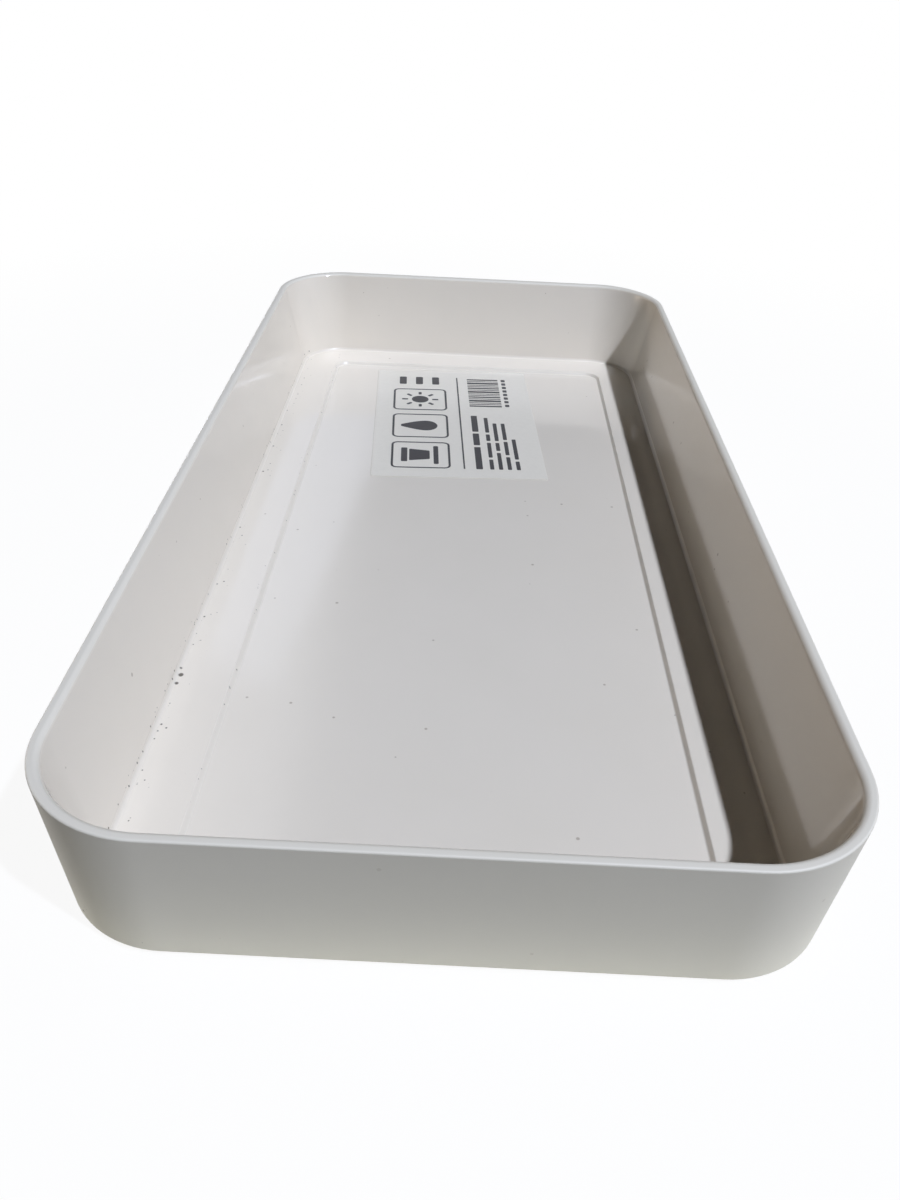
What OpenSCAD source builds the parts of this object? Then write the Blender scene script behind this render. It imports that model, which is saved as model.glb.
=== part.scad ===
// Rectangular plant saucer: a one-piece moulded tray with a paper label on its floor.
// Frame: +Z up, +Y along the length, origin at the middle of the face that it stands on.

/* [Tray] */
// Length over the rim
tray_l = 290; // [220:1:400]
// Width over the rim
tray_w = 140; // [110:1:200]
// Height of the wall, from its underside to the top of the rim
wall_h = 30; // [22:0.5:45]
// Plan radius of the rim's outer corners
corner_r = 23; // [18:0.5:35]
// Thickness of the wall at the rim
rim_t = 2.1; // [2:0.1:4]
// How far the outside of the wall leans in between the rim and its underside
outer_lean = 2.9; // [1:0.1:5]
// How far the inside of the wall leans in between the rim and the floor
inner_lean = 5.6; // [3:0.1:8]

/* [Floor] */
// Thickness of the floor strip next to the wall
floor_t = 2; // [1.6:0.1:4]
// Distance from the rim's outer edge to the edge of the sunken panel
panel_margin = 20.1; // [15:0.1:30]
// Depth of the sunken panel below the floor strip
panel_depth = 1; // [0.6:0.1:1.4]
// Plan radius of the panel's corners
panel_corner_r = 5; // [3:0.5:12]
// Width of the sloping step at the panel's edge
panel_slope = 0.8; // [0.4:0.1:1.5]
// Height of the foot under the panel, which the saucer stands on
foot_h = 0.8; // [0.5:0.1:2]
// How far the foot reaches out past the panel above it
foot_reach = 1.2; // [0.5:0.1:3]

/* [Edges] */
// Radius of the rim's outer edge
rim_outer_round = 0.4; // [0.2:0.05:0.6]
// Radius of the rim's inner edge
rim_inner_round = 1.3; // [0.2:0.05:1.4]
// Radius of the hollow between the wall and the floor
base_fillet = 1.1; // [0.4:0.1:3]
// Radius of the hollow at the foot of the panel's step
panel_cove = 0.6; // [0.2:0.1:0.8]
// Radius of the wall's lower outer edge
bottom_round = 1; // [0.3:0.1:1.5]
// Radius of the foot's lower edge
foot_round = 0.3; // [0.1:0.1:0.4]

/* [Label] */
// Length of the label, along the tray
label_l = 87.5; // [40:0.5:120]
// Width of the label, across the tray
label_w = 55; // [30:0.5:75]
// Distance of the label's centre from the tray's middle line, positive to the right
label_offset = -3.5; // [-8:0.5:8]
// Angle at which the label was stuck on
label_turn = 3.3; // [-5:0.1:5]
// Gap between the panel's far edge and the label's nearest corner
label_gap = 2.1; // [1.5:0.1:20]
// Thickness of the paper
paper_t = 0.12; // [0.08:0.01:0.3]
// Thickness of the adhesive film
adhesive_t = 0.05; // [0.03:0.01:0.2]
// How far the adhesive stops short of the paper's edge
adhesive_inset = 0.5; // [0.2:0.1:3]

/* [Hidden] */
$fn = 96;
arc_steps = 6;
rim_z = foot_h + wall_h;
floor_z = foot_h + floor_t;
panel_z = floor_z - panel_depth;
panel_l = tray_l - 2 * panel_margin;
panel_w = tray_w - 2 * panel_margin;
foot_corner_r = panel_corner_r + foot_reach;
// Rounding the rim on a leaning wall draws its widest line in by this much, so the wall moves out by it
rim_loss = rim_outer_round * (1 / tan((90 - atan(outer_lean / wall_h)) / 2) - 1);
// Half of the label's reach along the tray, with its turn
label_half_reach = (label_l * cos(label_turn) + label_w * abs(sin(label_turn))) / 2;
label_y = panel_l / 2 - label_gap - label_half_reach;
// How far the panel's cutter runs on above the floor
cutter_run = 1;

function unit(v) = v / norm(v);

// Points of the arc that rounds corner p, on the way from a to b
function rounded_corner(a, p, b, radius) =
    let (
        u = unit(a - p),
        v = unit(b - p),
        half = acos(u * v) / 2,
        centre = p + unit(u + v) * radius / sin(half),
        first = p + u * radius / tan(half) - centre,
        last = p + v * radius / tan(half) - centre,
        start = atan2(first[1], first[0]),
        sweep = (atan2(last[1], last[0]) - start + 540) % 360 - 180
    )
    [for (i = [0:arc_steps])
        let (angle = start + sweep * i / arc_steps)
        centre + radius * [cos(angle), sin(angle)]];

// A section with some of its corners rounded: each corner is [x, z, radius]
module section(corners) {
    count = len(corners);
    function place(i) = [corners[(i + count) % count][0], corners[(i + count) % count][1]];
    polygon([for (i = [0:count - 1])
        each corners[i][2] > 0
            ? rounded_corner(place(i - 1), place(i), place(i + 1), corners[i][2])
            : [place(i)]]);
}

// A section carried round a rectangle with round corners, and the slab that fills the middle.
// The section's x is counted outwards from the corner's own axis.
module carried_round(length, width, radius, low_z, high_z) {
    run_y = length - 2 * radius;
    run_x = width - 2 * radius;
    for (side = [0, 1]) {
        rotate([0, 0, 180 * side]) {
            translate([run_x / 2, run_y / 2, 0]) rotate_extrude(angle = 90) children();
            translate([-run_x / 2, run_y / 2, 0]) rotate([0, 0, 90]) rotate_extrude(angle = 90) children();
            translate([run_x / 2, 0, 0]) rotate([90, 0, 0]) linear_extrude(run_y, center = true) children();
            translate([0, run_y / 2, 0]) rotate([90, 0, 90]) linear_extrude(run_x, center = true) children();
        }
    }
    translate([-run_x / 2, -run_y / 2, low_z]) cube([run_x, run_y, high_z - low_z]);
}

// Wall and floor strip, before the panel is sunk
module shell() {
    carried_round(tray_l, tray_w, corner_r, foot_h, floor_z)
        section([
            [0, foot_h, 0],
            [corner_r + rim_loss - outer_lean, foot_h, bottom_round],
            [corner_r + rim_loss, rim_z, rim_outer_round],
            [corner_r - rim_t, rim_z, rim_inner_round],
            [corner_r - rim_t - inner_lean, floor_z, base_fillet],
            [0, floor_z, 0]
        ]);
}

// Foot under the panel
module foot() {
    carried_round(panel_l + 2 * foot_reach, panel_w + 2 * foot_reach, foot_corner_r, 0, floor_z)
        section([
            [0, 0, 0],
            [foot_corner_r, 0, foot_round],
            [foot_corner_r, floor_z, 0],
            [0, floor_z, 0]
        ]);
}

// Space that the sunken panel leaves in the floor
module panel_space() {
    top_z = floor_z + cutter_run;
    carried_round(panel_l, panel_w, panel_corner_r, panel_z, top_z)
        section([
            [0, panel_z, 0],
            [panel_corner_r - panel_slope, panel_z, panel_cove],
            [panel_corner_r, floor_z, 0],
            [panel_corner_r, top_z, 0],
            [0, top_z, 0]
        ]);
}

module saucer_body() {
    color([0.89, 0.87, 0.84])
    difference() {
        union() {
            shell();
            foot();
        }
        panel_space();
    }
}

// A flat layer of the label, at a height above the panel and short of the label's edge
module label_layer(height, thickness, inset) {
    size = [label_w - 2 * inset, label_l - 2 * inset, thickness];
    translate([label_offset, label_y, panel_z + height])
        rotate([0, 0, label_turn])
        translate([-size[0] / 2, -size[1] / 2, 0])
        cube(size);
}

module label_adhesive() {
    color([0.86, 0.84, 0.74]) label_layer(0, adhesive_t, adhesive_inset);
}

module label_paper() {
    color([0.96, 0.96, 0.95]) label_layer(adhesive_t, paper_t, 0);
}

saucer_body();
label_adhesive();
label_paper();
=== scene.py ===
# %% [markdown]
# # Dressing a plant saucer
# The saucer is a shallow rectangular tray that stands under a window-box planter and catches its water. It
# is one moulding of off-white plant-fibre resin, with a paper label stuck to the floor inside. The CAD frame
# holds the true sizes, so it is loaded first, and its box is kept: the finished model has to stay inside it.

# %% Load the CAD frame
import math

import bmesh
import bpy
from mathutils import Matrix, Vector


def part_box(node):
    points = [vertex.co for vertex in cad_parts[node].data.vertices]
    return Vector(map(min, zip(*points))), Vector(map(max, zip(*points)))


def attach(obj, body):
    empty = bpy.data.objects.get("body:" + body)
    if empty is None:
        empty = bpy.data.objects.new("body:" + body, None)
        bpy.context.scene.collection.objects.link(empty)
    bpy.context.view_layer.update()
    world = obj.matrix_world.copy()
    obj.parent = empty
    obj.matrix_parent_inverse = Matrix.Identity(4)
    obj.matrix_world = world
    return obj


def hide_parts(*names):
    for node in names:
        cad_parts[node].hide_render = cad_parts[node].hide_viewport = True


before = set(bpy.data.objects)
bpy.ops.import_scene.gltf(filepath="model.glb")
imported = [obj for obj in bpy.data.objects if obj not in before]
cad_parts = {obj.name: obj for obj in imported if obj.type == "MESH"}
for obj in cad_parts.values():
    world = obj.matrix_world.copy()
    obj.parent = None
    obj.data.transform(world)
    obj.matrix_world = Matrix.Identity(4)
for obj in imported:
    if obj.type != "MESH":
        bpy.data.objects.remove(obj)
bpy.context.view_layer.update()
MM = 0.001

# %% [markdown]
# ## Camera
# The picture was taken by hand, probably with a phone, from above the near end and slightly rolled. A Track
# To constraint could aim the camera, but it can't roll it, so the camera gets its place and three turns:
# heading, tilt and roll.

# %% Place the camera
CAMERA_AT = Vector((-1.2, -248.9, 146.3)) * MM
CAMERA_HEADING = math.radians(0.20)
CAMERA_TILT = math.radians(33.91)
CAMERA_ROLL = math.radians(2.70)
CAMERA_LENS = 30.57
CAMERA_CLIP = 10 * MM

bpy.ops.object.select_all(action="DESELECT")
bpy.ops.object.camera_add(location=CAMERA_AT)
camera = bpy.context.object
heading = Matrix.Rotation(CAMERA_HEADING, 4, "Z")
tilt = Matrix.Rotation(math.radians(90) - CAMERA_TILT, 4, "X")
roll = Matrix.Rotation(CAMERA_ROLL, 4, "Z")
camera.matrix_world = Matrix.Translation(CAMERA_AT) @ heading @ tilt @ roll
camera.data.lens = CAMERA_LENS
camera.data.clip_start = CAMERA_CLIP
bpy.context.scene.camera = camera
print("camera", [round(v / MM) for v in camera.location], "mm, lens", camera.data.lens)

# %% [markdown]
# ## Working by hand in edit mode
# Operators act on whatever is selected, so two helpers come first. One takes a new primitive into the mesh's
# own place and opens it for editing. The other selects edges or faces by where their corners are, which is
# what a modeller does with a click.

# %% Helpers for edit mode
SAME_WITHIN = 0.01 * MM


def open_piece(name):
    """Name the primitive that was just added, put its place into its mesh, and open it in edit mode."""
    piece = bpy.context.object
    piece.name = name
    piece.data.name = name
    bpy.ops.object.transform_apply(location=True, rotation=True, scale=True)
    bpy.ops.object.mode_set(mode="EDIT")
    bpy.ops.mesh.select_all(action="SELECT")
    return piece


def select_where(piece, kind, test):
    """In edit mode, select the edges or faces whose corners all pass the test."""
    bpy.ops.mesh.select_mode(type={"edges": "EDGE", "faces": "FACE"}[kind])
    bpy.ops.mesh.select_all(action="DESELECT")
    work = bmesh.from_edit_mesh(piece.data)
    chosen = [part for part in getattr(work, kind) if all(test(corner.co) for corner in part.verts)]
    for part in chosen:
        part.select_set(True)
    bmesh.update_edit_mesh(piece.data)
    return len(chosen)


def near(a, b):
    """True where two sizes are the same, apart from rounding."""
    return abs(a - b) < SAME_WITHIN


print("sizes count as the same within", SAME_WITHIN / MM, "mm")

# %% [markdown]
# ## Sizes of the tray
# The overall sizes come from the frame. The rest are the tray's own: a wall that leans more inside than
# outside, so that it thickens towards the floor, a floor strip, a panel sunk into the floor, and a low foot
# under the panel. Rounding the rim draws its widest line in a little, so the blank starts that much larger.

# %% Sizes of the tray
tray_low, tray_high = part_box("saucer_body")
tray_w, tray_l, rim_z = tray_high - Vector((tray_low.x, tray_low.y, 0))
CORNER_R = 23 * MM
RIM_T = 2.1 * MM
OUTER_LEAN = 2.9 * MM
INNER_LEAN = 5.6 * MM
FOOT_H = 0.8 * MM
FLOOR_T = 2.0 * MM
PANEL_MARGIN = 20.1 * MM
PANEL_DEPTH = 1.0 * MM
PANEL_SLOPE = 0.8 * MM
PANEL_CORNER_R = 5 * MM
FOOT_REACH = 1.2 * MM
RIM_OUTER_ROUND = 0.4 * MM

floor_z = FOOT_H + FLOOR_T
panel_z = floor_z - PANEL_DEPTH
panel_w = tray_w - 2 * PANEL_MARGIN
panel_l = tray_l - 2 * PANEL_MARGIN
outer_angle = math.atan2(OUTER_LEAN, rim_z - FOOT_H)
inner_angle = math.atan2(INNER_LEAN, rim_z - floor_z)
step_angle = math.atan2(PANEL_SLOPE, PANEL_DEPTH)
right_angle = math.radians(90)
rim_loss = RIM_OUTER_ROUND * (1 / math.tan((right_angle - outer_angle) / 2) - 1)
print("rim, floor and panel at", [round(level / MM, 2) for level in (rim_z, floor_z, panel_z)], "mm")

# %% [markdown]
# ## Three plates with round corners
# Every level of the tray is a rectangle with round corners. A cube could be bevelled and hollowed, but plates
# are simpler: a plane with its four corners bevelled gives one clean outline. Three of them are made, at the
# rim, at the panel and at the foot, all with the same number of points, so that they can be bridged later.
# Extruding a lone face keeps that face as a lid, which would end up inside the body, so the foot's lid is
# deleted.

# %% Cut the three plates
CORNER_CUTS = 20


def rounded_plate(name, width, length, height, radius):
    """Add a flat plate with round corners at a height, and leave it open in edit mode."""
    bpy.ops.object.select_all(action="DESELECT")
    bpy.ops.mesh.primitive_plane_add(size=1, location=(0, 0, height))
    bpy.context.object.scale = (width, length, 1)
    plate = open_piece(name)
    bpy.ops.mesh.bevel(affect="VERTICES", offset=radius, segments=CORNER_CUTS, profile=0.5)
    return plate


panel_plate = rounded_plate("panel_plate", panel_w, panel_l, floor_z, PANEL_CORNER_R)
bpy.ops.mesh.inset(thickness=PANEL_SLOPE, depth=-PANEL_DEPTH)
bpy.ops.object.mode_set(mode="OBJECT")

foot_w, foot_l = panel_w + 2 * FOOT_REACH, panel_l + 2 * FOOT_REACH
foot_plate = rounded_plate("foot_plate", foot_w, foot_l, FOOT_H, PANEL_CORNER_R + FOOT_REACH)
bpy.ops.mesh.flip_normals()
bpy.ops.mesh.extrude_region_move(TRANSFORM_OT_translate={"value": (0, 0, -FOOT_H)})
select_where(foot_plate, "faces", lambda co: near(co.z, FOOT_H))
bpy.ops.mesh.delete(type="ONLY_FACE")
bpy.ops.object.mode_set(mode="OBJECT")

blank_w, blank_l = tray_w + 2 * rim_loss, tray_l + 2 * rim_loss
tray = rounded_plate("tray", blank_w, blank_l, rim_z, CORNER_R + rim_loss)
print("points in each outline:", len(panel_plate.data.vertices) // 2, len(foot_plate.data.vertices) // 2)

# %% [markdown]
# ## Walls
# The rim's plate becomes the walls. Inset with a depth offsets the outline evenly and moves it down in one
# go, which a scale can't do: scaling would change the corners. A flipped copy of the plate goes down as the
# outer wall, and the plate itself goes in by the rim's thickness and then down to the floor as the inner
# wall.

# %% Draw the walls down from the rim
MERGE_WITHIN = 0.001 * MM
bpy.ops.mesh.duplicate()
bpy.ops.mesh.flip_normals()
bpy.ops.mesh.inset(thickness=OUTER_LEAN, depth=rim_z - FOOT_H)
bpy.ops.mesh.delete(type="ONLY_FACE")
select_where(tray, "faces", lambda co: near(co.z, rim_z))
bpy.ops.mesh.inset(thickness=RIM_T + rim_loss, depth=0)
bpy.ops.mesh.inset(thickness=INNER_LEAN, depth=floor_z - rim_z)
bpy.ops.mesh.delete(type="ONLY_FACE")
bpy.ops.mesh.select_all(action="SELECT")
bpy.ops.mesh.remove_doubles(threshold=MERGE_WITHIN)
bpy.ops.object.mode_set(mode="OBJECT")
print("walls have", len(tray.data.polygons), "faces")

# %% [markdown]
# ## Floor and underside
# The three plates are joined into one mesh. At floor height there are now two open outlines, the foot of the
# wall and the edge of the panel, and bridging them makes the floor strip. The same is done underneath. The
# faces could be filled one by one, but a bridge pairs the points of both outlines by itself.

# %% Join the plates and bridge them
bpy.ops.object.select_all(action="DESELECT")
for plate in (panel_plate, foot_plate, tray):
    plate.select_set(True)
bpy.context.view_layer.objects.active = tray
bpy.ops.object.join()
bpy.ops.object.mode_set(mode="EDIT")
for level in (floor_z, FOOT_H):
    select_where(tray, "edges", lambda co: near(co.z, level))
    bpy.ops.mesh.bridge_edge_loops()
bpy.ops.mesh.select_all(action="SELECT")
bpy.ops.mesh.normals_make_consistent(inside=False)
work = bmesh.from_edit_mesh(tray.data)
loose_edges = sum(not edge.is_manifold for edge in work.edges)
print("edges that don't join two faces:", loose_edges, "of", len(work.edges))

# %% [markdown]
# ## Rounded edges
# Hardly any edge of a moulding is sharp. Each outline is picked by its height and by how far in from the rim
# it lies, and is bevelled with its own radius. A bevel is set by how far it reaches along the faces, which
# follows from the radius and the angle between them. A Bevel modifier would give all edges one width.

# %% Find how far in a point lies


def inset_of(co):
    """How far a point lies inside the rim's outer line, seen from above."""
    along_x = abs(co.x) - (tray_w / 2 - CORNER_R)
    along_y = abs(co.y) - (tray_l / 2 - CORNER_R)
    if along_x > 0 and along_y > 0:
        return CORNER_R - math.hypot(along_x, along_y)
    return min(tray_w / 2 - abs(co.x), tray_l / 2 - abs(co.y))


print("the tray's middle lies", round(inset_of(Vector((0, 0, 0))) / MM, 1), "mm inside the rim")

# %% Round each edge by its own radius
# Each edge's height, least and most inset in mm, radius, angle between its faces, and steps
EDGE_ROUNDS = {
    "rim outside": (rim_z, -1, 1, RIM_OUTER_ROUND, right_angle - outer_angle, 6),
    "rim inside": (rim_z, 1, 4, 1.3 * MM, right_angle + inner_angle, 10),
    "foot of the wall": (floor_z, 4, 12, 1.1 * MM, right_angle + inner_angle, 8),
    "panel edge": (floor_z, 12, 99, 0.4 * MM, right_angle + step_angle, 4),
    "panel cove": (panel_z, 12, 99, 0.6 * MM, right_angle + step_angle, 4),
    "wall underside": (FOOT_H, 0, 12, 1.0 * MM, right_angle + outer_angle, 5),
    "foot edge": (0, 12, 99, 0.3 * MM, right_angle, 3),
}
for edge_name, (level, least, most, radius, angle, steps) in EDGE_ROUNDS.items():
    count = select_where(
        tray, "edges", lambda co: near(co.z, level) and least * MM < inset_of(co) < most * MM
    )
    reach = radius / math.tan(angle / 2)
    bpy.ops.mesh.bevel(affect="EDGES", offset_type="OFFSET", offset=reach, segments=steps, profile=0.5)
    print(edge_name, "rounded on", count, "edges")
bpy.ops.object.mode_set(mode="OBJECT")

# %% [markdown]
# ## Shading of the tray
# Smooth shading over a flat face next to a small round leaves a false sheen on the flat. A Weighted Normal
# modifier lets the large flat faces decide, so the flats stay flat and only the rounds turn. The one edge
# that isn't rounded, where the foot leaves the underside, is kept sharp by its angle.

# %% Smooth the tray's shading
SHARP_FROM = math.radians(60)
LARGE_FACES_LEAD = 100
bpy.ops.object.shade_smooth_by_angle(angle=SHARP_FROM)
weighted = tray.modifiers.new("flat_faces_lead", "WEIGHTED_NORMAL")
weighted.mode = "FACE_AREA"
weighted.weight = LARGE_FACES_LEAD
weighted.keep_sharp = True
bpy.ops.object.modifier_apply(modifier=weighted.name)
print("tray:", len(tray.data.vertices), "points,", len(tray.data.polygons), "faces")

# %% [markdown]
# ## Nodes as expressions
# The finishes below mix noise, spots and masks. Written node by node that is hard to read, so one small class
# wraps a socket: sums and products of such wires add Math nodes, and one method adds any other node.


# %% A wire between nodes
class Wire:
    """One value in a material's nodes."""

    def __init__(self, tree, socket=None):
        self.tree = tree
        self.socket = socket

    def node(self, kind, settings=None, sockets=None, out=0):
        """Add a node, set it up, feed its sockets, and return one of its outputs."""
        made = self.tree.nodes.new(kind)
        for name, value in (settings or {}).items():
            setattr(made, name, value)
        for name, value in (sockets or {}).items():
            self.feed(made.inputs[name], value)
        return Wire(self.tree, made.outputs[out])

    def feed(self, socket, value):
        """Link a wire to a socket, or set the socket to a value."""
        if isinstance(value, Wire):
            self.tree.links.new(value.socket, socket)
        else:
            socket.default_value = value

    def math(self, operation, first, second=0.0):
        """A Math node on one or two values."""
        return self.node("ShaderNodeMath", {"operation": operation}, {0: first, 1: second})

    def __add__(self, other):
        return self.math("ADD", self, other)

    def __sub__(self, other):
        return self.math("SUBTRACT", self, other)

    def __rsub__(self, other):
        return self.math("SUBTRACT", other, self)

    def __mul__(self, other):
        return self.math("MULTIPLY", self, other)

    __radd__ = __add__
    __rmul__ = __mul__

    def __abs__(self):
        return self.math("ABSOLUTE", self)

    def also(self, out):
        """Another output of the same node."""
        return Wire(self.tree, self.socket.node.outputs[out])

    def within(self):
        """The value, kept from 0 to 1."""
        return self.node("ShaderNodeClamp", sockets={"Value": self})

    def ramp(self, start, end):
        """0 up to the start, 1 from the end on, and an even rise between."""
        return ((self - start) * (1 / (end - start))).within()

    def between(self, least, most):
        """A value that goes from the least to the most as this value goes from 0 to 1."""
        return self * (most - least) + least

    def tint(self, first, second):
        """A colour that goes from the first to the second as this value goes from 0 to 1."""
        return self.node("ShaderNodeMix", {"data_type": "RGBA"}, {0: self, 6: first, 7: second}, out=2)


print("a wire can be fed, mixed, kept within 0 and 1, and turned into a colour")

# %% [markdown]
# Three helpers start each piece's finish. Colours are written as they look on a screen, and a shader takes
# linear ones, so they are converted. A new material comes with its first wire. Noise is set by the size of
# its lumps.

# %% Start of a finish


def colour(red, green, blue):
    """A screen colour, each part from 0 to 255, as the linear colour that a shader takes."""
    def linear(part):
        share = part / 255
        return share / 12.92 if share <= 0.04045 else ((share + 0.055) / 1.055) ** 2.4
    return (linear(red), linear(green), linear(blue), 1.0)


def new_finish(name):
    """A new material, with a wire to start from and its shader's sockets."""
    finish = bpy.data.materials.new(name)
    finish.use_nodes = True
    return finish, Wire(finish.node_tree), finish.node_tree.nodes["Principled BSDF"].inputs


def noise(wire, place, size, detail):
    """Soft noise around a half, with lumps of about this size."""
    return wire.node("ShaderNodeTexNoise", sockets={"Vector": place, "Scale": 1 / size, "Detail": detail})


print("mid grey on the screen is", round(colour(128, 128, 128)[0], 3), "in a shader")

# %% [markdown]
# ## Fibre resin
# The moulding is resin filled with ground plant fibre: a warm off-white, faintly cloudy, with a few brown
# flecks and some dust caught along the foot of the left wall and the panel's left edge. Flecks and dust are
# spots of a cell pattern in space: the surface cuts through scattered balls, so the spots differ in size, as
# real ones do. An image would need a seamless picture and a UV map for the same.

# %% Spots and lines
SPOT_EDGE = 4


def spots(wire, place, spacing, radius, share=1.0):
    """A mask of round spots: so far apart, and of many sizes up to a share of the radius."""
    cells = wire.node("ShaderNodeTexVoronoi", sockets={"Vector": place, "Scale": 1 / spacing})
    chance = wire.node("ShaderNodeSeparateColor", sockets={"Color": cells.also("Color")})
    reach = chance * chance * share * (radius / spacing)
    return ((reach - cells) * (SPOT_EDGE * spacing / radius)).within()


def beside(distance, line, width):
    """A mask that is 1 on a line and fades to 0 at a width from it."""
    return (1 - abs(distance - line) * (1 / width)).within()


print("a spot is full at 1 /", SPOT_EDGE, "of its largest radius inside its edge")

# %% Dust along two lines
CRUMB_GAP, CRUMB_R = 3.4 * MM, 1.0 * MM
GRIT_GAP, GRIT_R = 1.3 * MM, 0.5 * MM
DUST_OFF_WALL = 1.2 * MM
WALL_DUST_AT = RIM_T + INNER_LEAN + DUST_OFF_WALL - tray_w / 2
STEP_DUST_AT = -panel_w / 2
WALL_DUST_W, STEP_DUST_W = 5 * MM, 2 * MM
DUST_LEVEL, DUST_RISE = 4 * MM, 6 * MM


def caught_dust(wire, place, drifted):
    """A mask of crumbs and grit along the foot of the left wall and the panel's left edge."""
    across = wire.node("ShaderNodeSeparateXYZ", sockets={"Vector": place})
    height = across.also("Z")
    by_wall = beside(across, WALL_DUST_AT, WALL_DUST_W)
    by_step = beside(across, STEP_DUST_AT, STEP_DUST_W)
    dusty = (by_wall + by_step).within() * beside(height, DUST_LEVEL, DUST_RISE)
    crumbs = spots(wire, drifted, CRUMB_GAP, CRUMB_R, dusty)
    grit = spots(wire, drifted, GRIT_GAP, GRIT_R, dusty)
    return (crumbs + grit).within()


print("dust lies at x =", [round(x / MM, 1) for x in (WALL_DUST_AT, STEP_DUST_AT)], "mm")

# %% [markdown]
# The mould was polished inside and left satin outside. One function makes every finish, because only the
# roughness, the grain, the polish and the tones change. Outside the flecks are paler, under the satin skin.
# The pattern of spots is moved along the tray, to where the spots fall well.

# %% Fibre resin
# Each side's tone, the tone of its clouds and the tone of its flecks
INSIDE = colour(233, 225, 212), colour(229, 221, 207), colour(140, 122, 102)
OUTSIDE = colour(231, 225, 212), colour(227, 221, 207), colour(205, 196, 180)
DUST = colour(66, 58, 50)
SPOT_DRIFT = (0, 38 * MM, 0)
CLOUD_SIZE, WEAR_SIZE = 30 * MM, 22 * MM
FLECK_GAP, FLECK_R = 5 * MM, 0.5 * MM
FLECK_SHOWS, DUST_SHOWS = 0.5, 0.85
RESIN_IOR = 1.6


def fibre_resin(name, tones, roughness, polish, smudge, grain, grain_height):
    """The moulding's finish, with its tones, roughness, polish, smudges in the roughness, and grain."""
    finish, wire, shader = new_finish(name)
    place = wire.node("ShaderNodeTexCoord", out="Object")
    drifted = wire.node("ShaderNodeVectorMath", {"operation": "ADD"}, {0: place, 1: SPOT_DRIFT})
    plain, cloudy, fleck = tones
    clouded = noise(wire, place, CLOUD_SIZE, detail=3.0).tint(plain, cloudy)
    flecked = (spots(wire, drifted, FLECK_GAP, FLECK_R) * FLECK_SHOWS).tint(clouded, fleck)
    dust = caught_dust(wire, place, drifted)
    wire.feed(shader["Base Color"], (dust * DUST_SHOWS).tint(flecked, DUST))
    worn = noise(wire, place, WEAR_SIZE, detail=4.0)
    wire.feed(shader["Roughness"], worn.between(roughness - smudge / 2, roughness + smudge / 2))
    skin = noise(wire, place, grain, detail=2.0)
    bump = {"Strength": 1.0, "Distance": grain_height, "Height": skin}
    wire.feed(shader["Normal"], wire.node("ShaderNodeBump", sockets=bump))
    shader["IOR"].default_value = RESIN_IOR
    shader["Coat Weight"].default_value = polish
    shader["Coat Roughness"].default_value = roughness
    return finish


POLISHED = {"smudge": 0.06, "grain": 9 * MM, "grain_height": 0.02 * MM}
SATIN = {"smudge": 0.08, "grain": 0.5 * MM, "grain_height": 0.004 * MM}
gloss_inside = fibre_resin("gloss_inside", INSIDE, roughness=0.1, polish=0.5, **POLISHED)
gloss_walls = fibre_resin("gloss_walls", INSIDE, roughness=0.1, polish=0.15, **POLISHED)
semi_gloss_coves = fibre_resin("semi_gloss_coves", INSIDE, roughness=0.3, polish=0.0, **POLISHED)
satin_outside = fibre_resin("satin_outside", OUTSIDE, roughness=0.58, polish=0.0, **SATIN)
print("finishes:", gloss_inside.name, gloss_walls.name, semi_gloss_coves.name, satin_outside.name)

# %% [markdown]
# The tray gets its finishes face by face: glossy on the floor, with less polish on the walls and least in the
# narrow coves where a polishing wheel doesn't reach, and satin on the rim, the outer wall and the underside.
# Painting them by hand would do the same, but a rule still holds when a size changes.

# %% Give the tray its finishes
SATIN_SLOT, GLOSS_SLOT, WALL_SLOT, COVE_SLOT = range(4)
ABOVE_UNDERSIDE, ABOVE_COVE = 1.2 * MM, 5 * MM
INSIDE_WALL = 5 * MM
COVE_LEAST_UP, COVE_MOST_UP = 0.25, 0.99


def finish_slot(face):
    """The slot of the finish for a face of the tray, by its place and by how far it faces up."""
    inset = inset_of(face.center)
    on_floor = face.center.z > ABOVE_UNDERSIDE and inset > INSIDE_WALL
    if on_floor and COVE_LEAST_UP < face.normal.z < COVE_MOST_UP:
        return COVE_SLOT
    if face.center.z > ABOVE_COVE and inset > RIM_T:
        return WALL_SLOT
    return GLOSS_SLOT if on_floor else SATIN_SLOT


for finish in (satin_outside, gloss_inside, gloss_walls, semi_gloss_coves):
    tray.data.materials.append(finish)
for face in tray.data.polygons:
    face.material_index = finish_slot(face)
slots = [face.material_index for face in tray.data.polygons]
print("satin, floor, wall and cove faces:", [slots.count(slot) for slot in range(4)])
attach(tray, "root")
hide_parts("saucer_body")

# %% [markdown]
# ## Label paper
# The label is a rectangle of white paper, stuck a little askew near the far end of the panel. A Solidify
# modifier could give a plane its thickness. Here an extrude does it, because the sheet's upper edge is then
# there to be bevelled.

# %% Cut the label
LABEL_L = 87.5 * MM
LABEL_W = 55 * MM
LABEL_TURN = math.radians(3.3)
LABEL_CORNER_R = 0.6 * MM
LABEL_EDGE_BEVEL = 0.03 * MM
label_low, label_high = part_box("label_paper")
label_at = (label_low + label_high) / 2
paper_t = label_high.z - label_low.z


def place_on_label(piece):
    """Turn and move a piece made flat at the origin to the label's place, and put that into its mesh."""
    bpy.ops.object.select_all(action="DESELECT")
    piece.select_set(True)
    bpy.context.view_layer.objects.active = piece
    piece.rotation_euler.z = LABEL_TURN
    piece.location = (label_at.x, label_at.y, 0)
    bpy.ops.object.transform_apply(location=True, rotation=True, scale=True)


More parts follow.
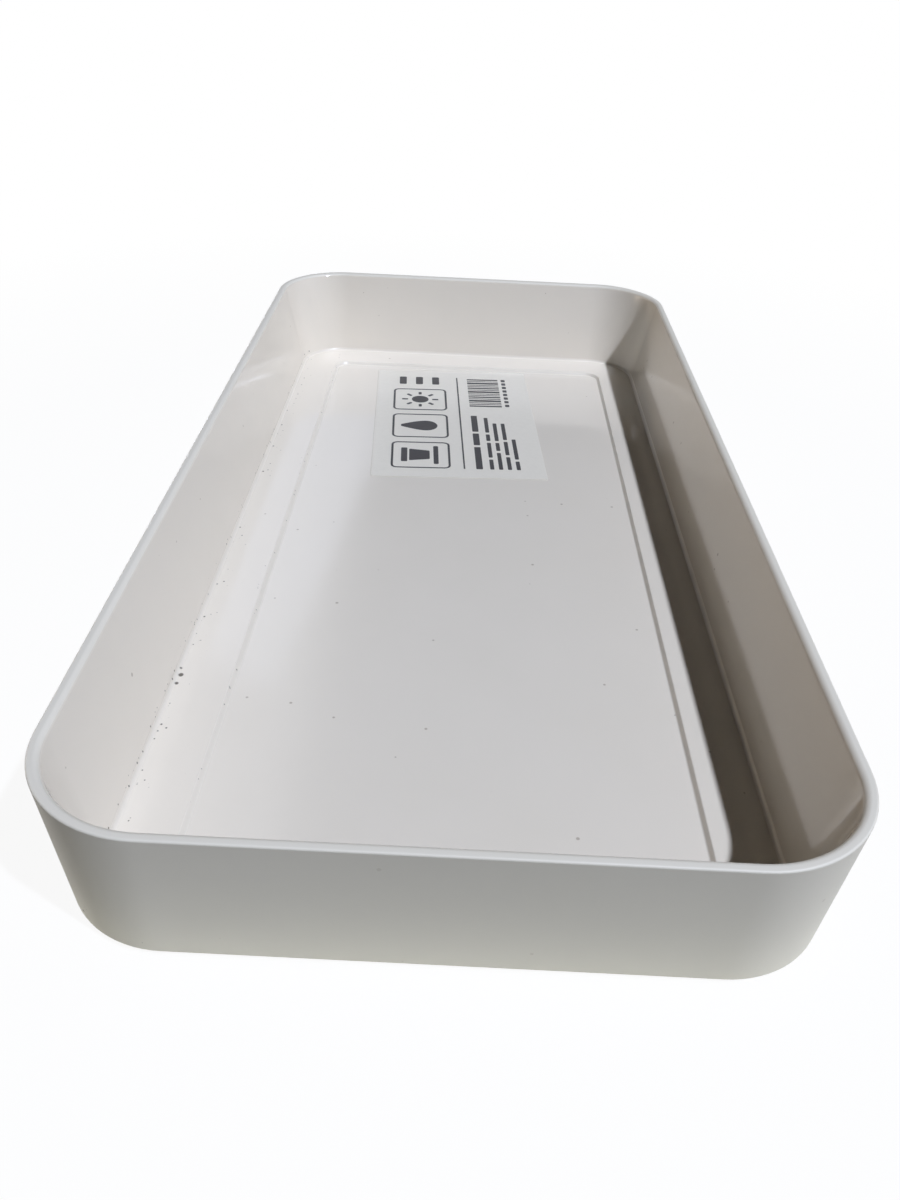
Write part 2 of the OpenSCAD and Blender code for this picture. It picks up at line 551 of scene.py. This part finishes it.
bpy.ops.object.select_all(action="DESELECT")
bpy.ops.mesh.primitive_plane_add(size=1, location=(0, 0, label_low.z))
bpy.context.object.scale = (LABEL_W, LABEL_L, 1)
paper = open_piece("label_sheet")
bpy.ops.mesh.bevel(affect="VERTICES", offset=LABEL_CORNER_R, segments=4, profile=0.5)
bpy.ops.mesh.extrude_region_move(TRANSFORM_OT_translate={"value": (0, 0, paper_t)})
bpy.ops.mesh.select_all(action="SELECT")
bpy.ops.mesh.normals_make_consistent(inside=False)
select_where(paper, "edges", lambda co: near(co.z, label_high.z))
bpy.ops.mesh.bevel(affect="EDGES", offset=LABEL_EDGE_BEVEL, segments=2, profile=0.5)
bpy.ops.object.mode_set(mode="OBJECT")
place_on_label(paper)
print("label sheet:", len(paper.data.polygons), "faces")

# %% [markdown]
# Label paper is smooth but less glossy than the resin, and its white is close to the resin's. A flat colour
# would look like plastic, so fine noise gives it a faint fibre mottle, in its colour and in its roughness.

# %% Finish the label
PAPER = colour(232, 226, 213)
PAPER_MOTTLE = colour(226, 220, 207)
PAPER_FIBRE = 1.5 * MM
PAPER_ROUGH = 0.38, 0.48
finish, wire, shader = new_finish("label_white")
place = wire.node("ShaderNodeTexCoord", out="Object")
mottle = noise(wire, place, PAPER_FIBRE, detail=4.0)
wire.feed(shader["Base Color"], mottle.tint(PAPER, PAPER_MOTTLE))
wire.feed(shader["Roughness"], mottle.between(*PAPER_ROUGH))
paper.data.materials.append(finish)
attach(paper, "root")
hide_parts("label_paper")
print("paper finish:", finish.name)

# %% [markdown]
# The film of adhesive under the paper is a CAD node whose shape is right, so it stays and only gets a finish.
# Adhesive never spreads quite evenly, so noise makes it a little patchy.

# %% Finish the adhesive
FILM = colour(232, 228, 208)
FILM_PATCH = colour(222, 216, 190)
PATCH_SIZE = 6 * MM
FILM_ROUGH = 0.25, 0.45
finish, wire, shader = new_finish("adhesive_film")
place = wire.node("ShaderNodeTexCoord", out="Object")
uneven = noise(wire, place, PATCH_SIZE, detail=2.0)
wire.feed(shader["Base Color"], uneven.tint(FILM, FILM_PATCH))
wire.feed(shader["Roughness"], uneven.between(*FILM_ROUGH))
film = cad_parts["label_adhesive"]
film.data.materials.clear()
film.data.materials.append(finish)
print("adhesive film:", film.data.materials[0].name)

# %% [markdown]
# ## Label print
# The print is a thin layer of dark ink. It is generic: three small pictures say what the tray is for, and
# under them are rows of short bars and a row of stripes. An image would be quicker, but shapes cut from
# planes stay sharp at any distance. Each one is drawn flat on the paper, and is raised by the ink's thickness
# at the end. The places and sizes of the print are in mm on the label.

# %% Drawing tools for the print
INK_T = 0.02 * MM
printed = []


def on_paper(along, down):
    """A place on the label, in mm along the reading direction and down from the label's upper edge."""
    return Vector((down * MM - LABEL_W / 2, along * MM - LABEL_L / 2, label_high.z))


def keep_shape():
    """Close the shape that is open in edit mode, and add it to the print."""
    bpy.ops.object.mode_set(mode="OBJECT")
    printed.append(bpy.context.object)


def ink_bar(along, down, length, height, rounding, foot=1.0):
    """A bar with round corners; foot makes its lower side narrower than its upper side."""
    bpy.ops.object.select_all(action="DESELECT")
    middle = on_paper(along + length / 2, down + height / 2)
    bpy.ops.mesh.primitive_plane_add(size=1, location=middle)
    bpy.context.object.scale = (height * MM, length * MM, 1)
    bar = open_piece("ink_%02d" % len(printed))
    select_where(bar, "edges", lambda co: co.x > middle.x)
    bpy.ops.transform.resize(value=(1, foot, 1), center_override=middle)
    bpy.ops.mesh.select_all(action="SELECT")
    bpy.ops.mesh.bevel(affect="VERTICES", offset=rounding * MM, segments=3, profile=0.5)
    keep_shape()


def ink_frame(along, down, length, height, rounding, line):
    """A frame: a bar with its middle inset and cut out."""
    ink_bar(along, down, length, height, rounding)
    bpy.ops.object.mode_set(mode="EDIT")
    bpy.ops.mesh.select_all(action="SELECT")
    bpy.ops.mesh.inset(thickness=line * MM, depth=0)
    bpy.ops.mesh.delete(type="FACE")
    bpy.ops.object.mode_set(mode="OBJECT")


def ink_disc(along, down, radius):
    """A round spot, left open in edit mode."""
    bpy.ops.object.select_all(action="DESELECT")
    bpy.ops.mesh.primitive_circle_add(
        vertices=32, radius=radius * MM, fill_type="NGON", location=on_paper(along, down)
    )
    return open_piece("ink_%02d" % len(printed))


print("ink is", INK_T / MM, "mm thick")

# %% [markdown]
# The three pictures stand in frames: a pot on its saucer, a drop of water and the sun. The pot is three bars,
# of which the middle one has a narrower foot. The drop is a disc whose top point is pulled up, with its
# neighbours following. The sun's ray is drawn once, and copies of it are turned round the disc.

# %% Draw the frames and the pot
FRAME_SIZE, FRAME_DOWN = 19, 6
FRAME_ROUND, FRAME_LINE = 2, 0.7
FRAMES_ALONG = (6, 28.5, 51)
# The pot's rim, its body and its saucer: each one's place down, length, height, rounding and foot
POT_BARS = ((9.2, 10, 2, 0.4, 1.0), (11.8, 8.4, 6.6, 0.4, 0.72), (19.6, 13, 1.6, 0.5, 1.0))
for along in FRAMES_ALONG:
    ink_frame(along, FRAME_DOWN, FRAME_SIZE, FRAME_SIZE, FRAME_ROUND, FRAME_LINE)
pot_mid, drop_mid, sun_mid = [along + FRAME_SIZE / 2 for along in FRAMES_ALONG]
frame_mid = FRAME_DOWN + FRAME_SIZE / 2
for down, length, height, rounding, foot in POT_BARS:
    ink_bar(pot_mid - length / 2, down, length, height, rounding, foot)
print("frames and pot drawn in", len(printed), "shapes")

# %% Draw the drop
DROP_DOWN, DROP_R = 17.4, 3.9
TIP_R = 1 * MM
TIP_PULL, TIP_FOLLOW = 4.6 * MM, 5.5 * MM
drop = ink_disc(drop_mid, DROP_DOWN, DROP_R)
tip = on_paper(drop_mid, DROP_DOWN - DROP_R)
tip_edges = select_where(drop, "edges", lambda co: (co - tip).length < TIP_R)
bpy.ops.transform.translate(
    value=(-TIP_PULL, 0, 0), use_proportional_edit=True, proportional_edit_falloff="SHARP",
    proportional_size=TIP_FOLLOW,
)
keep_shape()
print("drop pulled up at", tip_edges, "edges")

# %% Draw the sun
SUN_R = 3
RAYS, RAY_DOWN = 8, 9
RAY_W, RAY_L, RAY_ROUND = 1.1, 2.2, 0.3
ink_disc(sun_mid, frame_mid, SUN_R)
keep_shape()
ink_bar(sun_mid - RAY_W / 2, RAY_DOWN, RAY_W, RAY_L, RAY_ROUND)
first_ray = bpy.context.object
for step in range(1, RAYS):
    bpy.ops.object.select_all(action="DESELECT")
    first_ray.select_set(True)
    bpy.context.view_layer.objects.active = first_ray
    bpy.ops.object.duplicate()
    bpy.ops.object.mode_set(mode="EDIT")
    bpy.ops.mesh.select_all(action="SELECT")
    bpy.ops.transform.rotate(
        value=math.radians(360 * step / RAYS), orient_axis="Z", center_override=on_paper(sun_mid, frame_mid)
    )
    keep_shape()
print("pictures drawn in", len(printed), "shapes")

# %% [markdown]
# Under the pictures come a thin rule and rows of short bars, beside them the stripes with small blocks below,
# and three marks stand next to the pictures. All of them are bars, so loops place them.

# %% Draw the rule and the rows of bars
PRINT_MARGIN = 6
RULE_DOWN, RULE_H, RULE_ROUND = 29, 0.5, 0.1
BAR_GAP, BAR_ROUND = 1.5, 0.3
# Each row's place down, its height and the lengths of its bars
BAR_ROWS = (
    (33, 2.1, (16, 9, 13)),
    (37.4, 1.3, (7, 11, 5, 12)),
    (40.2, 1.3, (12, 6, 14)),
    (43, 1.3, (9, 10, 13)),
    (45.8, 1.3, (6, 15)),
)
ink_bar(PRINT_MARGIN, RULE_DOWN, LABEL_L / MM - 2 * PRINT_MARGIN, RULE_H, RULE_ROUND)
for down, height, lengths in BAR_ROWS:
    along = PRINT_MARGIN
    for length in lengths:
        ink_bar(along, down, length, height, BAR_ROUND)
        along += length + BAR_GAP
print("with the rows", len(printed), "shapes")

# %% Draw the stripes, the blocks and the marks
STRIPE_WIDTHS = (1.1, 0.6, 0.6, 1.5, 0.6) * 3 + (1.1,)
STRIPES_ALONG, STRIPES_DOWN = 55, 33
STRIPE_L, STRIPE_GAP, STRIPE_ROUND = 11.5, 0.75, 0.08
BLOCKS, BLOCKS_ALONG, BLOCKS_DOWN, BLOCK_STEP = 8, 55.4, 45.7, 3.3
BLOCK_L, BLOCK_H = 2.1, 1.5
MARKS, MARKS_ALONG, MARKS_DOWN, MARK_STEP = 3, 74.5, 8, 6
MARK_L, MARK_H, MARK_ROUND = 7, 2.6, 0.5
along = STRIPES_ALONG
for width in STRIPE_WIDTHS:
    ink_bar(along, STRIPES_DOWN, width, STRIPE_L, STRIPE_ROUND)
    along += width + STRIPE_GAP
for step in range(BLOCKS):
    ink_bar(BLOCKS_ALONG + step * BLOCK_STEP, BLOCKS_DOWN, BLOCK_L, BLOCK_H, BAR_ROUND)
for step in range(MARKS):
    ink_bar(MARKS_ALONG, MARKS_DOWN + MARK_STEP * step, MARK_L, MARK_H, MARK_ROUND)
print("print drawn in", len(printed), "shapes")

# %% [markdown]
# All the shapes are joined into one piece and drawn up by the ink's thickness, so that the print is a layer
# that stands on the paper. Two faces at one height would flicker.

# %% Raise the print by the ink's thickness
bpy.ops.object.select_all(action="DESELECT")
for shape in printed:
    shape.select_set(True)
bpy.context.view_layer.objects.active = printed[0]
bpy.ops.object.join()
label_print = bpy.context.object
label_print.name = "label_print"
label_print.data.name = "label_print"
bpy.ops.object.mode_set(mode="EDIT")
bpy.ops.mesh.select_all(action="SELECT")
bpy.ops.mesh.extrude_region_move(TRANSFORM_OT_translate={"value": (0, 0, INK_T)})
bpy.ops.mesh.select_all(action="SELECT")
bpy.ops.mesh.normals_make_consistent(inside=False)
work = bmesh.from_edit_mesh(label_print.data)
print("label print:", len(work.faces), "faces, open edges:", sum(edge.is_boundary for edge in work.edges))
bpy.ops.object.mode_set(mode="OBJECT")
place_on_label(label_print)

# %% [markdown]
# Ink on uncoated paper is never quite even. One dark grey would look like a sticker, so noise at the scale of
# the paper's fibres makes it a little patchy.

# %% Finish the ink
INK = colour(66, 64, 64)
INK_WORN = colour(84, 82, 82)
INK_PATCH = 0.8 * MM
INK_ROUGH = 0.42, 0.54
finish, wire, shader = new_finish("ink_grey")
place = wire.node("ShaderNodeTexCoord", out="Object")
patchy = noise(wire, place, INK_PATCH, detail=3.0)
wire.feed(shader["Base Color"], patchy.tint(INK, INK_WORN))
wire.feed(shader["Roughness"], patchy.between(*INK_ROUGH))
label_print.data.materials.append(finish)
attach(label_print, "root")
print("ink finish:", finish.name)

# %% [markdown]
# ## Stage
# The tray stands on a pale sheet on a plain floor. To the camera and in mirrors the floor is white, through
# the Light Path node, and near the tray it keeps part of its own shading, so that the tray's shadow stays.
# For the light that it throws on the tray, it is pale next to the tray and dark further out: a wide white
# floor would fill the shade, which is deep in the picture.

# %% Lay the floor
FLOOR_SIZE = 14.0
bpy.ops.object.select_all(action="DESELECT")
bpy.ops.mesh.primitive_plane_add(size=FLOOR_SIZE, location=(0, 0, 0))
floor = bpy.context.object
floor.name = "studio_floor"
print("floor:", FLOOR_SIZE, "m wide")

# %% Finish the floor
FLOOR_NEAR, FLOOR_FAR = 0.16, 0.34
FLOOR_WHITE = 0.93
SHEET_REACH, SHEET_FADE = 12 * MM, 14 * MM
SHEET_PALE, FLOOR_DARK = (0.64, 0.62, 0.5, 1.0), (0.06, 0.06, 0.06, 1.0)
FLOOR_PALE, PLAIN_WHITE = (0.9, 0.9, 0.9, 1.0), (1.0, 1.0, 1.0, 1.0)


def rays(wire, *kinds):
    """1 for rays of these kinds, by their names in the Light Path node, and 0 for all others."""
    paths = wire.node("ShaderNodeLightPath").socket.node.outputs
    share = Wire(wire.tree, paths[kinds[0]])
    for kind in kinds[1:]:
        share = share + Wire(wire.tree, paths[kind])
    return share.within()


finish = bpy.data.materials.new("pale_floor")
finish.use_nodes = True
finish.node_tree.nodes.clear()
wire = Wire(finish.node_tree)
place = wire.node("ShaderNodeTexCoord", out="Object")
away = wire.node("ShaderNodeVectorMath", {"operation": "LENGTH"}, {0: place}, out="Value")
apart = wire.node("ShaderNodeSeparateXYZ", sockets={"Vector": place})
beyond = wire.math("MAXIMUM", abs(apart) - tray_w / 2, abs(apart.also("Y")) - tray_l / 2)
off_sheet = beyond.ramp(SHEET_REACH, SHEET_REACH + SHEET_FADE)
lit = wire.node("ShaderNodeBsdfDiffuse", sockets={"Color": off_sheet.tint(SHEET_PALE, FLOOR_DARK)})
white = wire.node("ShaderNodeEmission", sockets={"Color": PLAIN_WHITE, "Strength": 1.0})
pale = wire.node("ShaderNodeBsdfDiffuse", sockets={"Color": FLOOR_PALE})
whiteness = away.ramp(FLOOR_NEAR, FLOOR_FAR).between(FLOOR_WHITE, 1)
seen = wire.node("ShaderNodeMixShader", sockets={0: whiteness, 1: pale, 2: white})
direct = rays(wire, "Is Camera Ray", "Is Glossy Ray", "Is Transmission Ray")
mixed = wire.node("ShaderNodeMixShader", sockets={0: direct, 1: lit, 2: seen})
output = finish.node_tree.nodes.new("ShaderNodeOutputMaterial")
wire.feed(output.inputs["Surface"], mixed)
floor.data.materials.append(finish)
print("floor is shaded up to", FLOOR_FAR, "m from the middle")

# %% [markdown]
# ## Sky
# The camera sees plain white all round. A white sky in the glossy resin would drown the picture, so in
# mirrors it is white only along the horizon and dim above, as a pale room with an open roof would be. A very
# low even light stays in the deepest shade.

# %% Sky
LOW_SKY, HIGH_SKY = 0.03, 0.07
AMBIENT = 0.004
# Degrees above the horizon: white up to the first, low from the second to the third, high from the fourth
SKY_BANDS = (1, 5, 23, 27)
white_up_to, low_from, low_up_to, high_from = [math.sin(math.radians(angle)) for angle in SKY_BANDS]
world = bpy.data.worlds.new("studio")
bpy.context.scene.world = world
world.use_nodes = True
world.node_tree.nodes.clear()
wire = Wire(world.node_tree)
direction = wire.node("ShaderNodeTexCoord", out="Generated")
rise = wire.node("ShaderNodeSeparateXYZ", sockets={"Vector": direction}, out="Z")
dim = rise.ramp(white_up_to, low_from)
bright = rise.ramp(low_up_to, high_from)
sky = 1 - dim * (1 - LOW_SKY) + bright * (HIGH_SKY - LOW_SKY)
seen = rays(wire, "Is Camera Ray", "Is Transmission Ray")
mirrored = rays(wire, "Is Glossy Ray")
strength = seen * (1 - AMBIENT) + mirrored * (sky - AMBIENT) + AMBIENT
glow = wire.node("ShaderNodeBackground", sockets={"Color": PLAIN_WHITE, "Strength": strength})
output = world.node_tree.nodes.new("ShaderNodeOutputWorld")
wire.feed(output.inputs["Surface"], glow)
print("sky in mirrors", LOW_SKY, "to", HIGH_SKY, "and even light", AMBIENT)

# %% [markdown]
# ## Lights
# A small key light stands high in front on the right, where the sun stood, so that the far and the left wall
# are lit and the right wall throws its shade on the floor strip. A tall leaning card at the back on the left
# shows as a pale sheen in the glossy floor. A low warm card lights the shaded wall, and two strips below the
# rim's height light the outside on the left and at the back. Area lights are used for all of them, because
# their size sets how soft a shade's edge is.

# %% A helper for lights
TO_RIGHT, TO_NEAR = Vector((1, 0, 0)), Vector((0, -1, 0))
PLAIN_TINT = (1, 1, 1)


def towards(azimuth, elevation):
    """The direction of a place in the sky: azimuth from +Y towards +X, both angles in degrees."""
    azimuth, elevation = math.radians(azimuth), math.radians(elevation)
    level = math.cos(elevation)
    return Vector((math.sin(azimuth) * level, math.cos(azimuth) * level, math.sin(elevation)))


def soft_light(name, target, direction, distance, size, brightness, along=TO_RIGHT, tint=PLAIN_TINT):
    """An area light that faces a target from a direction, with its first side turned along a line."""
    bpy.ops.object.select_all(action="DESELECT")
    bpy.ops.object.light_add(type="AREA", location=target + direction * distance)
    lamp = bpy.context.object
    lamp.name = name
    lamp.data.shape = "RECTANGLE"
    lamp.data.size, lamp.data.size_y = size
    lamp.data.energy = brightness * math.pi * size[0] * size[1]
    lamp.data.color = tint
    side = (along - direction * along.dot(direction)).normalized()
    lamp.rotation_euler = Matrix((side, direction.cross(side), direction)).transposed().to_euler()
    print(name, "light:", round(lamp.data.energy, 4), "W")
    return lamp


print("to the left is", [round(part, 3) for part in towards(-90, 0)])

# %% Place the lights
MIDDLE = Vector((0, 0, 0))
BELOW_RIM = Vector((0, 0, 14 * MM))
COOL, WARM = (0.94, 1.015, 1.19), (1.0, 0.8, 0.6)
SUN = towards(132.8, 53.65)
CARD = towards(-14.4, 28.6)
CARD_LEAN = math.radians(-28)
LOW = towards(-76, 4.4)
LEFT, BACK = towards(-90, 0), towards(0, 0)
BACK_LEFT = towards(-40, 0)
STRIP_SIZE = (3.0, 0.024)
card_side = Matrix.Rotation(CARD_LEAN, 3, CARD) @ Vector((0, 0, 1)).cross(CARD)
soft_light("key", MIDDLE, SUN, distance=3.0, size=(0.09, 0.09), brightness=3280, tint=COOL)
soft_light(
    "card", MIDDLE, CARD, distance=1.2, size=(0.2, 0.46), brightness=0.55, along=card_side, tint=COOL
)
soft_light("low_card", MIDDLE, LOW, distance=1.5, size=(2.3, 0.2), brightness=3.7, tint=WARM)
soft_light("left_strip", BELOW_RIM, LEFT, distance=1.5, size=STRIP_SIZE, brightness=10, along=BACK)
soft_light("back_strip", BELOW_RIM, BACK_LEFT, distance=1.5, size=STRIP_SIZE, brightness=45, tint=COOL)

# %% [markdown]
# A polished wall also throws the sun back on to the floor in front of it. Path tracing hardly finds such
# light, so lights without a shadow stand in for it. Each one stands on the wall's foot, faces the way the
# mirrored sun shines, and is hidden from the camera and from mirrors.

# %% Light that the walls throw back
THROW_SPREAD = math.radians(30)
LEFT_WALL_L, FAR_WALL_L = 262 * MM, 112 * MM


def thrown_back(name, facing, along, length, reach, brightness):
    """A light on the foot of a wall that throws the sun back so far over the floor."""
    normal = facing * math.cos(inner_angle) + Vector((0, 0, math.sin(inner_angle)))
    mirrored_sun = SUN - 2 * SUN.dot(normal) * normal
    across = (mirrored_sun - along * mirrored_sun.dot(along)).normalized()
    half = abs(facing.x) * tray_w / 2 + abs(facing.y) * tray_l / 2
    target = facing * (RIM_T + INNER_LEAN + reach / 2 - half) + Vector((0, 0, floor_z))
    distance = -across.dot(facing) * reach / 2
    lamp = soft_light(name, target, across, distance, (length, across.z * reach), brightness, along, COOL)
    lamp.data.spread = THROW_SPREAD
    lamp.data.use_shadow = False
    lamp.visible_camera = False
    lamp.visible_glossy = False


thrown_back("left_wall", TO_RIGHT, BACK, LEFT_WALL_L, reach=31 * MM, brightness=0.12)
thrown_back("far_wall", TO_NEAR, TO_RIGHT, FAR_WALL_L, reach=45 * MM, brightness=0.09)
thrown_back("far_foot", TO_NEAR, TO_RIGHT, FAR_WALL_L, reach=14 * MM, brightness=0.15)

# %% [markdown]
# ## Colours as written
# The default view softens bright colours, as film does. The Standard view shows each colour about as it is
# written, which is what a pale tray on white needs.

# %% Set the view
view = bpy.context.scene.view_settings
view.view_transform = "Standard"
print("view:", view.view_transform)
